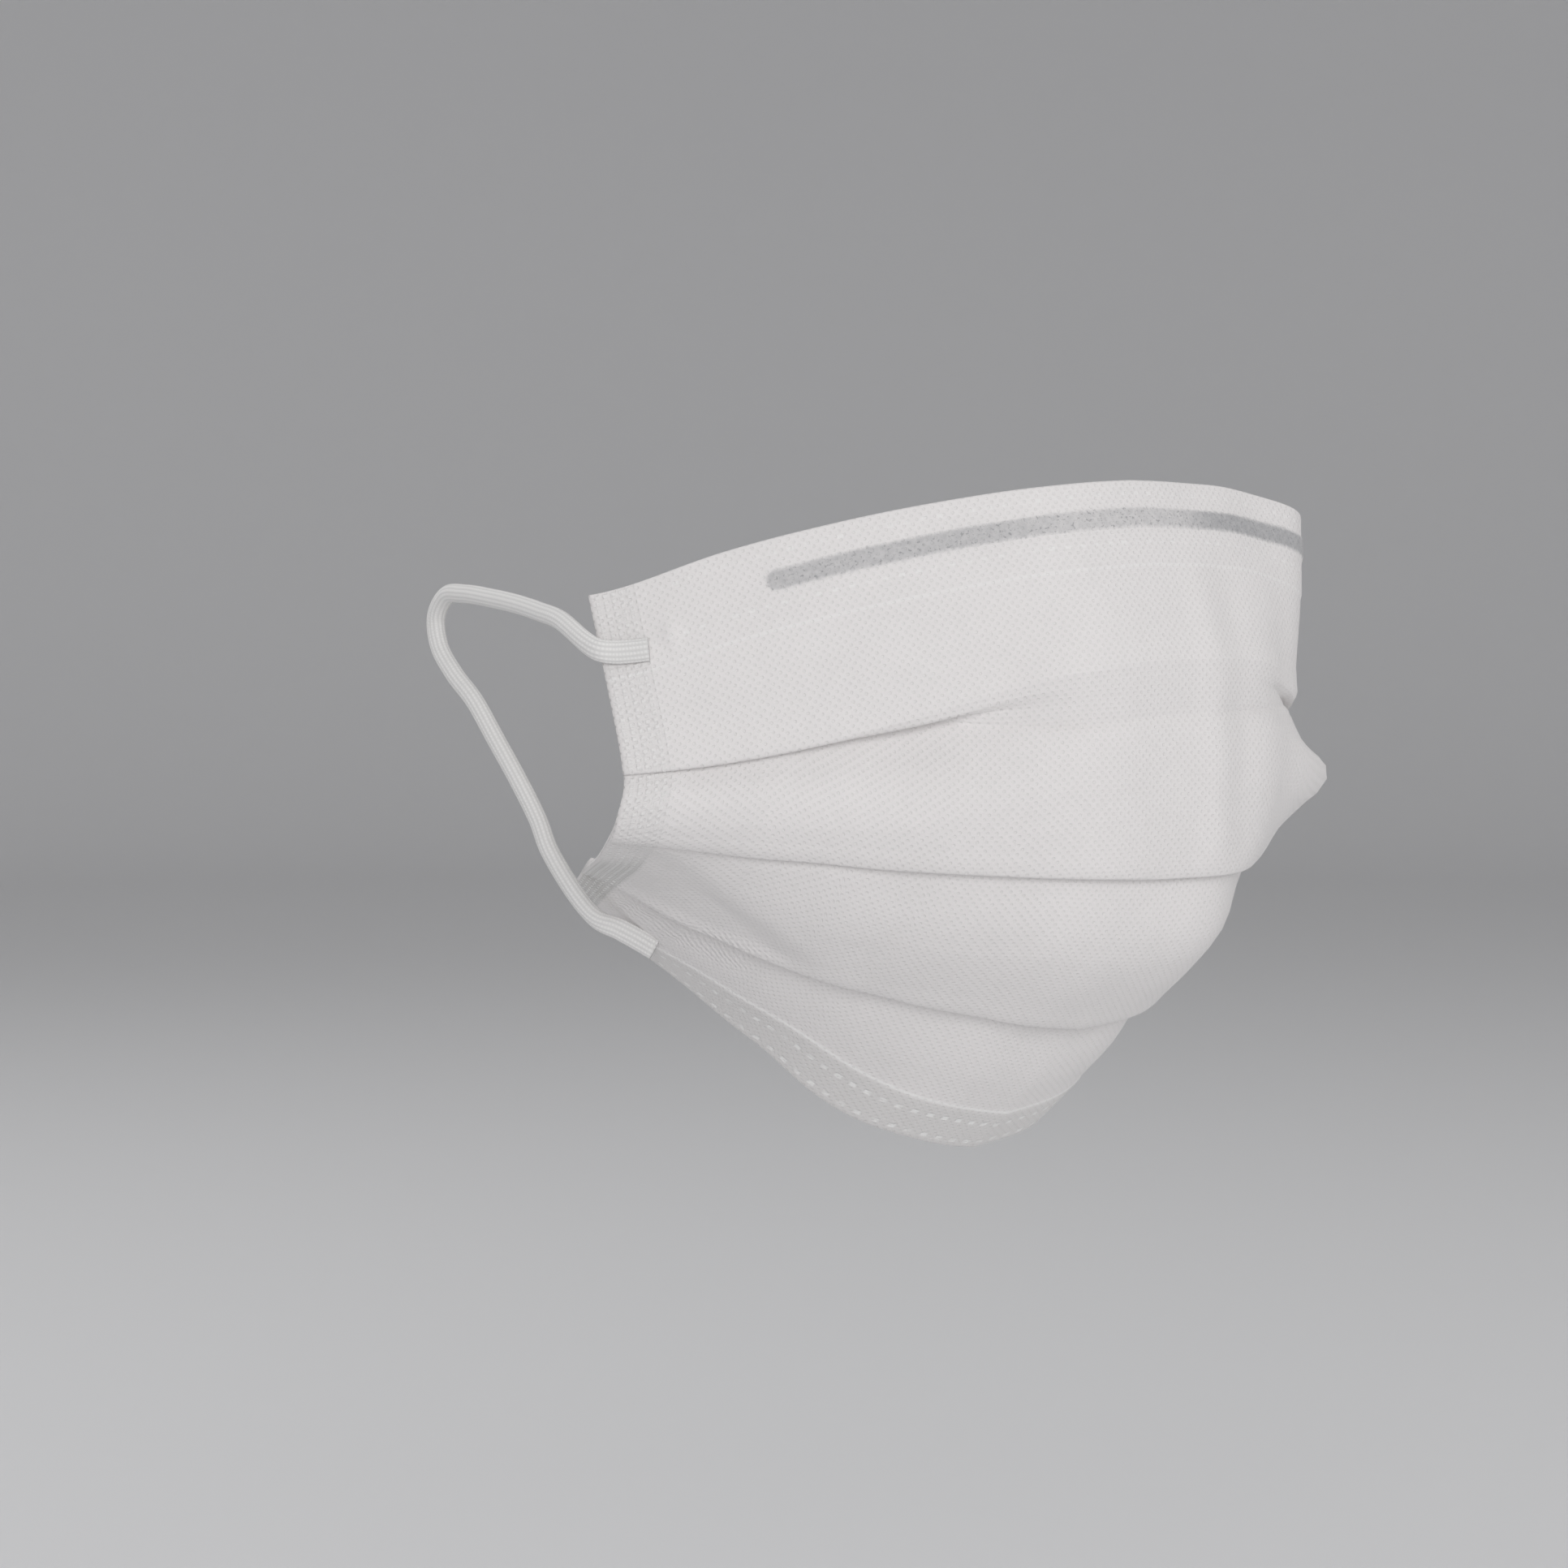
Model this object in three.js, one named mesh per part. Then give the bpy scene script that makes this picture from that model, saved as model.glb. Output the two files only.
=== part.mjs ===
// Pleated surgical face mask in its worn shape, millimetres, +Z up.
// The mask faces -Y, the wearer's left is +X, and the origin is the middle of the top edge,
// on the inner face of the hem, where the mask sits on the nose.
import * as THREE from 'three';
import { mergeVertices } from 'three/addons/utils/BufferGeometryUtils.js';

// Driving dimensions
const HALF_WIDTH = 89; // half of the cloth's width, measured along the cloth
const CLOTH = 0.9; // thickness of the pressed three-ply cloth
const GAP = 0.4; // clearance between two layers that lie on each other
const LAYER = CLOTH + GAP; // from the middle of one layer to the middle of the next
const PLEAT_DEPTH = 10; // cloth hidden behind a closed pleat
const WIRE = { width: 3.2, thickness: 0.6, halfLength: 62, row: 0.41 };
const POCKET = CLOTH + 2 * GAP + WIRE.thickness; // from the middle of the cloth to the hem behind the wire
const ELASTIC = { diameter: 3, sides: 8, steps: 56 };
const COLUMNS = 36; // columns of facets across the cloth

const CLOTH_LOOK = { color: 0xe9e7e5, roughness: 0.85, metalness: 0 };
const WIRE_LOOK = { color: 0xa9abad, roughness: 0.45, metalness: 0.8 };
const ELASTIC_LOOK = { color: 0xeeedec, roughness: 0.9, metalness: 0 };

// Lines across the mask, from the top edge down. A row starts in the middle at `back` behind the nose
// seat and runs to each side edge. It turns by `wing` degrees beside the nose, by `tuck` degrees over the
// cheek between `from` and `to`, and by `curl` degrees more and more towards the edge. `heights` are its
// levels in the middle, at a quarter, half and three quarters, and at the side. Worn slightly turned, the
// mask lies closer on the wearer's left cheek.
const ROWS = [
  {
    name: 'top_edge', back: 0,
    right: { wing: 27, curl: 23, heights: [0, -1.7, -5.6, -11, -17.8] },
    left: { wing: 9, curl: 0, tuck: 45, from: 36, to: 48, heights: [0, -0.4, -4.6, -10.5, -17.8] },
  },
  {
    name: 'top_hem_line', back: -5.5,
    right: { wing: 28, curl: 18, heights: [-14, -16, -20.5, -25.8, -31] },
    left: { wing: 13, curl: 0, tuck: 41, from: 32, to: 45, heights: [-14, -14.8, -18.8, -25, -31] },
  },
  {
    name: 'first_fold', back: -10,
    right: { wing: 30, curl: 12, heights: [-27.7, -30.2, -36.4, -41.6, -44.4] },
    left: { wing: 22, curl: 0, tuck: 33, from: 30, to: 44, heights: [-27.7, -28.2, -35, -41.2, -44.4] },
  },
  {
    name: 'nose_panel', back: -11.5,
    right: { wing: 32, curl: 10, heights: [-44.5, -45.5, -48, -50, -50.6] },
    left: { wing: 25, curl: 0, tuck: 30, from: 45, to: 57, heights: [-44.5, -45.2, -46.2, -48.4, -50.6] },
  },
  {
    name: 'second_fold', back: -9.5,
    right: { wing: 36, curl: 5, heights: [-61.3, -60.6, -59.3, -57.5, -55] },
    left: { wing: 37, curl: 0, tuck: 18, from: 34, to: 52, heights: [-61.3, -60.6, -58.2, -56.2, -55] },
  },
  {
    name: 'chin_panel', back: -1.5,
    right: { wing: 37, curl: 20, heights: [-75.5, -73.2, -69, -64, -58.4] },
    left: { wing: 45, curl: 0, tuck: 14, from: 34, to: 66, heights: [-75.5, -73.2, -69, -64, -58.4] },
  },
  {
    name: 'third_fold', back: 11,
    right: { wing: 38, curl: 40, heights: [-86.2, -83, -77.7, -70, -61.6] },
    left: { wing: 42, curl: 36, heights: [-86.2, -83, -77.7, -70, -61.6] },
  },
  {
    name: 'bottom_hem_line', back: 24,
    right: { wing: 39, curl: 56, heights: [-97.2, -92.2, -83.4, -73.6, -65.6] },
    left: { wing: 39, curl: 56, heights: [-97.2, -92.2, -83.4, -73.6, -65.6] },
  },
  {
    name: 'bottom_edge', back: 37,
    right: { wing: 40, curl: 72, heights: [-107.4, -101.6, -88.6, -76.2, -68.8] },
    left: { wing: 40, curl: 72, heights: [-107.4, -101.6, -88.6, -76.2, -68.8] },
  },
];
const ROW_NUMBER = Object.fromEntries(ROWS.map((row, number) => [row.name, number]));
const NOSE_TURN = { from: 5, to: 26 }; // stretch beside the middle over which a row turns by `wing`

// Pleats, all folded down. `open` is how far each one has opened, 0 to 1, from the middle to the side,
// and `depth` is how much cloth its closed part hides in the middle.
const PLEATS = [
  { fold: 'first_fold', open: [1, 0.94, 0.5, 0, 0], depth: PLEAT_DEPTH },
  { fold: 'second_fold', open: [0, 0, 0, 0, 0], depth: 7 },
  { fold: 'third_fold', open: [0, 0, 0, 0, 0], depth: 5 },
];

const radians = THREE.MathUtils.degToRad;
const { lerp, smoothstep } = THREE.MathUtils;

// Value at place t, 0 to 1, of a smooth line through evenly spaced values.
function smoothValue(values, t) {
  const place = Math.min(Math.max(t, 0), 1) * (values.length - 1);
  const first = Math.min(Math.floor(place), values.length - 2);
  const before = values[Math.max(first - 1, 0)];
  const after = values[Math.min(first + 2, values.length - 1)];
  const curve = new THREE.CatmullRomCurve3(
    [before, values[first], values[first + 1], after].map((value, i) => new THREE.Vector3(i, value, 0)),
    false, 'catmullrom', 0.5,
  );
  return curve.getPoint((1 + place - first) / 3).y;
}

// Points of one row from its middle to one side edge, stepping along the cloth.
function traceRow(row, side) {
  const { wing, curl, tuck = 0, from = 0, to = HALF_WIDTH, heights } = row[side];
  const steps = 178;
  const step = HALF_WIDTH / steps;
  const points = [new THREE.Vector3(0, row.back, heights[0])];
  for (let i = 1; i <= steps; i++) {
    const last = points[i - 1];
    const along = (i - 0.5) * step;
    const turn = wing * smoothstep(along, NOSE_TURN.from, NOSE_TURN.to)
      + tuck * smoothstep(along, from, to)
      + curl * (along / HALF_WIDTH) ** 2.5;
    const height = smoothValue(heights, i / steps);
    const level = Math.sqrt(Math.max(step ** 2 - (height - last.z) ** 2, 0));
    points.push(new THREE.Vector3(
      last.x + level * Math.cos(radians(turn)),
      last.y + level * Math.sin(radians(turn)),
      height,
    ));
  }
  return points;
}
const TRACES = {
  right: ROWS.map((row) => traceRow(row, 'right')),
  left: ROWS.map((row) => traceRow(row, 'left')),
};

// The three-dimensional curve down the mask at `across`, the distance from the middle along the cloth.
// Distances are negative on the wearer's right.
function columnCurve(across) {
  const traces = across < 0 ? TRACES.right : TRACES.left;
  const place = Math.abs(across) / HALF_WIDTH * (traces[0].length - 1);
  const first = Math.min(Math.floor(place), traces[0].length - 2);
  const points = traces.map((trace) => trace[first].clone().lerp(trace[first + 1], place - first));
  if (across < 0) points.forEach((point) => { point.x *= -1; });
  return new THREE.CatmullRomCurve3(points, false, 'catmullrom', 0.5);
}

// A point of the mask at a column: `drop` millimetres along the cloth below a row place, and `rise`
// outside the smooth surface there.
function maskPoint(across, rowPlace, drop, rise) {
  const column = columnCurve(across);
  const lengths = column.getLengths();
  const start = lengths[Math.round(rowPlace / (ROWS.length - 1) * (lengths.length - 1))];
  const place = THREE.MathUtils.clamp(column.getUtoTmapping(0, start + drop), 0, 1);
  const slope = 0.02;
  const down = column.getPoint(Math.min(place + slope, 1)).sub(column.getPoint(Math.max(place - slope, 0)));
  const side = 1.5;
  const towardLeft = columnCurve(Math.min(across + side, HALF_WIDTH));
  const towardRight = columnCurve(Math.max(across - side, -HALF_WIDTH));
  const along = towardLeft.getPoint(place).sub(towardRight.getPoint(place));
  return column.getPoint(place).addScaledVector(down.cross(along).normalize(), rise);
}

// Stations of one pleat at a column: how far each lies below the fold and outside the surface.
// The cloth turns back under the fold, runs up behind it, turns again and comes out below.
function pleatStations(pleat, across) {
  const t = Math.abs(across) / HALF_WIDTH;
  const open = THREE.MathUtils.clamp(smoothValue(pleat.open, t), 0, 1);
  const depth = lerp(pleat.depth, PLEAT_DEPTH, t);
  const radius = LAYER / 2;
  const turns = [0, 60, 120, 180].map(radians);
  const closed = [
    ...turns.map((a) => [radius * Math.sin(a) - radius, radius * Math.cos(a) - radius]),
    ...turns.map((a) => [radius - depth - radius * Math.sin(a), radius * Math.cos(a) - 3 * radius]),
    [-depth / 2, -2 * LAYER],
    [0, -2 * LAYER],
    [4, -1.6 * LAYER],
    [9, -0.5 * LAYER],
  ];
  const ridge = [[-1.5, 0.3], [-0.5, 0.6], [0.5, 0.6], [1.5, 0.2]];
  const valley = [[8, -1.4], [9, -1.8], [10, -1.8], [11, -1.4]];
  const beyond = [[12, -1], [13, -0.7], [14, -0.4], [15, -0.2]];
  const opened = [...ridge, ...valley, ...beyond];
  const sink = 3 * Math.sin(Math.PI * open);
  return closed.map(([drop, rise], i) => {
    const isInner = i >= turns.length;
    return [lerp(drop, opened[i][0], open), lerp(rise, opened[i][1], open) - (isInner ? sink : 0)];
  });
}

// All stations down one column of the pleated cloth, as row place, drop and rise.
function bodyStations(across) {
  const plain = (...places) => places.map((place) => [place, 0, 0]);
  const [first, second, third] = PLEATS.map((pleat) => pleatStations(pleat, across)
    .map(([drop, rise]) => [ROW_NUMBER[pleat.fold], drop, rise]));
  return [
    ...plain(0, 0.5, 1, 1.5), ...first,
    ...plain(3.25), ...second,
    ...plain(5.1), ...third,
    ...plain(7.2, 7.6, 8),
  ];
}

// A closed wall on both sides of the points that `stations` gives down the columns at `places`.
function wallGeometry(places, stations, thickness) {
  const columns = places.length - 1;
  const grid = places.map((across) => stations(across)
    .map(([place, drop, rise]) => maskPoint(across, place, drop, rise)));
  const rows = grid[0].length;
  const faces = [];
  for (const half of [thickness / 2, -thickness / 2]) {
    for (let i = 0; i <= columns; i++) {
      for (let j = 0; j < rows; j++) {
        const down = grid[i][Math.min(j + 1, rows - 1)].clone().sub(grid[i][Math.max(j - 1, 0)]);
        const along = grid[Math.min(i + 1, columns)][j].clone().sub(grid[Math.max(i - 1, 0)][j]);
        faces.push(grid[i][j].clone().addScaledVector(down.cross(along).normalize(), half));
      }
    }
  }
  const vertex = (face, i, j) => face * (columns + 1) * rows + i * rows + j;
  const index = [];
  const quad = (a, b, c, d) => index.push(a, b, c, a, c, d);
  for (let i = 0; i < columns; i++) {
    for (let j = 0; j < rows - 1; j++) {
      quad(vertex(0, i, j), vertex(0, i, j + 1), vertex(0, i + 1, j + 1), vertex(0, i + 1, j));
      quad(vertex(1, i, j), vertex(1, i + 1, j), vertex(1, i + 1, j + 1), vertex(1, i, j + 1));
    }
    const last = rows - 1;
    quad(vertex(0, i, 0), vertex(0, i + 1, 0), vertex(1, i + 1, 0), vertex(1, i, 0));
    quad(vertex(0, i, last), vertex(1, i, last), vertex(1, i + 1, last), vertex(0, i + 1, last));
  }
  for (let j = 0; j < rows - 1; j++) {
    quad(vertex(0, 0, j), vertex(1, 0, j), vertex(1, 0, j + 1), vertex(0, 0, j + 1));
    quad(vertex(0, columns, j), vertex(0, columns, j + 1), vertex(1, columns, j + 1), vertex(1, columns, j));
  }
  const geometry = new THREE.BufferGeometry().setFromPoints(faces);
  geometry.setIndex(index);
  return geometry;
}

function named(name, geometry, look) {
  const mesh = new THREE.Mesh(geometry, new THREE.MeshStandardMaterial(look));
  mesh.name = name;
  return mesh;
}

// Places across the mask at which its walls have facets, alike in all of them so that their gaps stay even.
const FACETS = Array.from({ length: COLUMNS + 1 }, (_, i) => lerp(-HALF_WIDTH, HALF_WIDTH, i / COLUMNS));

function makeBody() {
  const geometry = wallGeometry(FACETS, bodyStations, CLOTH);
  return named('mask_body', geometry, CLOTH_LOOK);
}

// A hem is the cloth's edge turned in behind the body. Its rows are given as place and setback.
function makeHem(name, rows) {
  const stations = () => rows.map(([place, setback]) => [place, 0, -setback]);
  return named(name, wallGeometry(FACETS, stations, CLOTH), CLOTH_LOOK);
}

function makeNoseWire() {
  const setback = (CLOTH + WIRE.thickness) / 2 + GAP;
  const stations = () => [-WIRE.width / 2, WIRE.width / 2].map((drop) => [WIRE.row, drop, -setback]);
  const inside = FACETS.filter((across) => Math.abs(across) < WIRE.halfLength - 1);
  const places = [-WIRE.halfLength, ...inside, WIRE.halfLength];
  const geometry = wallGeometry(places, stations, WIRE.thickness);
  return named('nose_wire', geometry, WIRE_LOOK);
}

// The elastic leaves the outer face near the top corner, goes round the ear and comes back to the
// outer face near the bottom corner. The points between its two welds are the free loop.
const LOOP_RISE = CLOTH / 2 + 1.5 * GAP + ELASTIC.diameter / 2;
const LOOP_WELDS = { // distance from the middle, row place and lift above lying flat
  top: [[83, 0.72, 0], [86, 0.7, 0], [89, 0.66, 0.4]],
  bottom: [[80, 6.66, 1.3], [75, 6.82, 0.5], [69, 6.97, 0.3]],
};
const LOOP_BACK = [ // behind the ear and down, the same on both sides
  [74, 67, -18], [73, 76, -17.3], [72.2, 82.6, -17.6], [71.7, 86.4, -21], [71.4, 86, -25.6],
  [71, 82.4, -30], [70.2, 77.6, -34.4], [68.6, 73.8, -40.6], [66.4, 71, -46.8], [64.2, 68.6, -53.2],
  [62.4, 67.6, -58.6],
];
const LOOP_FREE = {
  right: [[76.8, 44, -21.4], [76.2, 50, -20.2], [75, 58, -19], ...LOOP_BACK],
  left: [[72.4, 47, -22.4], [74, 53, -20.6], [74.4, 60, -19.2], ...LOOP_BACK],
};

function makeEarLoop(name, side) {
  const outward = side === 'right' ? -1 : 1;
  const onMask = ([across, place, lift]) => maskPoint(outward * across, place, 0, LOOP_RISE + lift);
  const free = LOOP_FREE[side].map(([x, y, z]) => new THREE.Vector3(outward * x, y, z));
  const points = [...LOOP_WELDS.top.map(onMask), ...free, ...LOOP_WELDS.bottom.map(onMask)];
  const section = new THREE.Shape();
  for (let i = 0; i < ELASTIC.sides; i++) {
    const angle = 2 * Math.PI * i / ELASTIC.sides;
    const radius = ELASTIC.diameter / 2;
    const method = i === 0 ? 'moveTo' : 'lineTo';
    section[method](radius * Math.cos(angle), radius * Math.sin(angle));
  }
  section.closePath();
  const geometry = new THREE.ExtrudeGeometry(section, {
    steps: ELASTIC.steps,
    extrudePath: new THREE.CatmullRomCurve3(points, false, 'centripetal'),
  });
  geometry.deleteAttribute('normal');
  geometry.deleteAttribute('uv');
  return named(name, mergeVertices(geometry, 1e-3), ELASTIC_LOOK);
}

const mask = new THREE.Group();
mask.add(
  makeBody(),
  makeHem('top_hem', [[0.03, POCKET], [0.3, POCKET], [0.6, POCKET], [1, LAYER]]),
  makeHem('bottom_hem', [[7.05, 1.7 * LAYER], [7.35, LAYER], [7.97, LAYER]]),
  makeNoseWire(),
  makeEarLoop('ear_loop_right', 'right'),
  makeEarLoop('ear_loop_left', 'left'),
);
// The inner face of the hem, not the middle of the cloth, is what touches the nose.
mask.position.y = -(POCKET + CLOTH / 2);

export default mask;
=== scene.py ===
import math

import bpy
import numpy as np
from bpy.props import FloatProperty, FloatVectorProperty, IntProperty, PointerProperty
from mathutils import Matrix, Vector


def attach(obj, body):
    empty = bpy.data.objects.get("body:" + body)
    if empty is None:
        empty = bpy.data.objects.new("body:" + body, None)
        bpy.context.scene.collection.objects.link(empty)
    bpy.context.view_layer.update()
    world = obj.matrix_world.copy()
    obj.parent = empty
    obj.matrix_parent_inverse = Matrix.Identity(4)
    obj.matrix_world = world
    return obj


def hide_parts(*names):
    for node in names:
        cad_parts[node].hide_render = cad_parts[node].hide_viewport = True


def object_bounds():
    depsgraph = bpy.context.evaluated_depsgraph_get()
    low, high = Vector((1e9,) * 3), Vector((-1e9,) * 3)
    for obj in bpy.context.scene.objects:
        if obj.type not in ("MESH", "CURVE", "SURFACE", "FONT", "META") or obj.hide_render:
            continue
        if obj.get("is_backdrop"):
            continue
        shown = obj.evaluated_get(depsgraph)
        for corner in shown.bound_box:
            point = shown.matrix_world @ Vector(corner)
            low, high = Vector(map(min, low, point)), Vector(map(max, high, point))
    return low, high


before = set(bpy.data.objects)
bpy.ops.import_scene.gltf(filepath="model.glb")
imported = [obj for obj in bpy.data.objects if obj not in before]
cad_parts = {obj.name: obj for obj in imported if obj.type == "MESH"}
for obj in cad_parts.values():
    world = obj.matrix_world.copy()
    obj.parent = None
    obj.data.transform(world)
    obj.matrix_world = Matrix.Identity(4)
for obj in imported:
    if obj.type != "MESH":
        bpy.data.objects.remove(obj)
CAD_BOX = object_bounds()

bl_info = {
    "name": "Pleated face mask",
    "version": (1, 0, 0),
    "blender": (4, 5, 0),
    "location": "3D View > Sidebar > Mask",
    "description": "Builds a pleated three-ply face mask with its hems, nose wire and ear loops",
    "category": "Add Mesh",
}

MM = 0.001

# Lines across the mask, from the top edge down, in millimetres and degrees. A row starts in the middle
# at `back` behind the nose seat and runs to each side edge. It turns by `wing` beside the nose, by `tuck`
# over the cheek between `start` and `stop`, and by `curl` more and more towards the edge. `heights` are
# its levels in the middle, at a quarter, half and three quarters, and at the side. Worn slightly turned,
# the mask lies closer on the wearer's left cheek.
ROWS = [
    {"name": "top_edge", "back": 0,
     "right": {"wing": 27, "curl": 23, "heights": [0, -1.7, -5.6, -11, -17.8]},
     "left": {"wing": 9, "curl": 0, "tuck": 45, "start": 36, "stop": 48,
              "heights": [0, -0.4, -4.6, -10.5, -17.8]}},
    {"name": "top_hem_line", "back": -5.5,
     "right": {"wing": 28, "curl": 18, "heights": [-14, -16, -20.5, -25.8, -31]},
     "left": {"wing": 13, "curl": 0, "tuck": 41, "start": 32, "stop": 45,
              "heights": [-14, -14.8, -18.8, -25, -31]}},
    {"name": "first_fold", "back": -10,
     "right": {"wing": 30, "curl": 12, "heights": [-27.7, -30.2, -36.4, -41.6, -44.4]},
     "left": {"wing": 22, "curl": 0, "tuck": 33, "start": 30, "stop": 44,
              "heights": [-27.7, -28.2, -35, -41.2, -44.4]}},
    {"name": "nose_panel", "back": -11.5,
     "right": {"wing": 32, "curl": 10, "heights": [-44.5, -45.5, -48, -50, -50.6]},
     "left": {"wing": 25, "curl": 0, "tuck": 30, "start": 45, "stop": 57,
              "heights": [-44.5, -45.2, -46.2, -48.4, -50.6]}},
    {"name": "second_fold", "back": -9.5,
     "right": {"wing": 36, "curl": 5, "heights": [-61.3, -60.6, -59.3, -57.5, -55]},
     "left": {"wing": 37, "curl": 0, "tuck": 18, "start": 34, "stop": 52,
              "heights": [-61.3, -60.6, -58.2, -56.2, -55]}},
    {"name": "chin_panel", "back": -1.5,
     "right": {"wing": 37, "curl": 20, "heights": [-75.5, -73.2, -69, -64, -58.4]},
     "left": {"wing": 45, "curl": 0, "tuck": 14, "start": 34, "stop": 66,
              "heights": [-75.5, -73.2, -69, -64, -58.4]}},
    {"name": "third_fold", "back": 11,
     "right": {"wing": 38, "curl": 40, "heights": [-86.2, -83, -77.7, -70, -61.6]},
     "left": {"wing": 42, "curl": 36, "heights": [-86.2, -83, -77.7, -70, -61.6]}},
    {"name": "bottom_hem_line", "back": 24,
     "right": {"wing": 39, "curl": 56, "heights": [-97.2, -92.2, -83.4, -73.6, -65.6]},
     "left": {"wing": 39, "curl": 56, "heights": [-97.2, -92.2, -83.4, -73.6, -65.6]}},
    {"name": "bottom_edge", "back": 37,
     "right": {"wing": 40, "curl": 72, "heights": [-107.4, -101.6, -88.6, -76.2, -68.8]},
     "left": {"wing": 40, "curl": 72, "heights": [-107.4, -101.6, -88.6, -76.2, -68.8]}},
]
ROW_NUMBER = {row["name"]: number for number, row in enumerate(ROWS)}
LAST_ROW = len(ROWS) - 1
NOSE_TURN = (5, 26)  # stretch beside the middle over which a row turns by `wing`
HALF_WIDTH = 89  # half of the cloth's width, measured along the cloth
SEAT_SETBACK = 2.75  # from the inner face of the hem, which is the origin, to the middle of the cloth
HIDDEN_AT_SIDE = 10  # cloth hidden behind each pleat at the side edges

# Pleats, all folded down. `open` is how far each has opened, from the middle to the side, and `depth`
# is how much cloth its closed part hides in the middle.
PLEATS = [
    {"fold": "first_fold", "open": [1, 0.94, 0.5, 0, 0], "depth": 10},
    {"fold": "second_fold", "open": [0, 0, 0, 0, 0], "depth": 7},
    {"fold": "third_fold", "open": [0, 0, 0, 0, 0], "depth": 5},
]

# How deep the opened pleat's ridge and valley are, over a stretch across the mask in millimetres.
CREASE = ((-60, 60), [0.6, 0.55, 0.5, 0.6, 1.0, 0.5, 0.45, 0.5, 0.95, 0.6, 0.6, 0.6, 0.6])
CREASE_SPAN = CREASE[0][1] - CREASE[0][0]

LEAD, REACH = 3.2, 14.5  # most cloth above and below a fold that its pleat lifts
STEPS_ABOVE = (32, 14, 12)  # rows of faces in the plain cloth above each fold
STEPS_BELOW = 22  # and below the last

WIRE_ROW = 0.41  # row place of the nose wire's middle
TOP_HEM = 14  # width of the cloth turned in at the top edge
BOTTOM_HEM = 10.6  # and at the bottom edge

# The elastic's free stretch between its two welds, in millimetres. x is away from the middle.
LOOP_BACK = [
    (74, 64.25, -18), (73, 73.25, -17.3), (72.2, 79.85, -17.6), (71.7, 83.65, -21), (71.4, 83.25, -25.6),
    (71, 79.65, -30), (70.2, 74.85, -34.4), (68.6, 71.05, -40.6), (66.4, 68.25, -46.8),
    (64.2, 65.85, -53.2), (62.4, 64.85, -58.6),
]
LOOP_FREE = {
    "right": [(76.8, 41.25, -21.4), (76.2, 47.25, -20.2), (75, 55.25, -19), *LOOP_BACK],
    "left": [(72.4, 44.25, -22.4), (74, 50.25, -20.6), (74.4, 57.25, -19.2), *LOOP_BACK],
}
# Places of the welded ends: distance from the middle, row place and rise above the cloth.
LOOP_TOP_WELD = [(81.5, 0.74, 1.1), (84, 0.72, 1.2), (86.5, 0.7, 1.5), (89, 0.66, 2.3)]
LOOP_BOTTOM_WELD = [(80, 6.66, 3.4), (75, 6.82, 2.2), (70.5, 6.94, 1.5), (67.5, 7, 1.3)]

# Stage: name, place and size in metres and power in watts of each light.
LIGHTS = [
    ("key", (-1.5, -2.1, 0.5), (1.9, 1.5), 9.8),
    ("fill", (1.4, -2.0, 0.5), (1.9, 1.5), 3),
    ("top", (-0.2, 0.2, 2.4), (2.0, 2.0), 3.5),
    ("back", (-0.9, 2.2, 0.9), (1.6, 1.2), 4),
]
LIGHT_SPREAD = 90  # degrees, so that the floor near a light stays calm
ROOM_LIGHT = 0.4  # strength of the even light from all round
MASK_MIDDLE = (0, 0.03, -0.05)  # what the lights point at


# Settings

class MaskSizes(bpy.types.PropertyGroup):
    """Sizes of the cloth, its folds and the elastic."""

    cloth: FloatProperty(
        name="Cloth", description="Thickness of the pressed three-ply cloth",
        default=0.42 * MM, min=0.1 * MM, max=0.9 * MM, unit="LENGTH", precision=5)
    layer: FloatProperty(
        name="Layer", description="From the middle of one folded layer to the middle of the next",
        default=0.95 * MM, min=0.5 * MM, max=1.3 * MM, unit="LENGTH", precision=5)
    columns: IntProperty(
        name="Columns", description="Columns of faces across the cloth", default=220, min=40, max=260)
    bond_pitch: FloatProperty(
        name="Bond pitch", description="Distance between the points that bond the fibres",
        default=1.0 * MM, min=0.5 * MM, max=3 * MM, unit="LENGTH", precision=5)
    weld_pitch: FloatProperty(
        name="Weld pitch", description="Distance between the dots of the side welds",
        default=1.25 * MM, min=0.5 * MM, max=3 * MM, unit="LENGTH", precision=5)
    wire_width: FloatProperty(
        name="Wire width", description="Width of the nose wire",
        default=3.2 * MM, min=2 * MM, max=6 * MM, unit="LENGTH", precision=5)
    wire_half: FloatProperty(
        name="Wire half length", description="Half of the nose wire's length along the cloth",
        default=62 * MM, min=40 * MM, max=70 * MM, unit="LENGTH", precision=5)
    elastic: FloatProperty(
        name="Elastic", description="Diameter of the knitted elastic",
        default=3 * MM, min=2 * MM, max=5 * MM, unit="LENGTH", precision=5)


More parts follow.
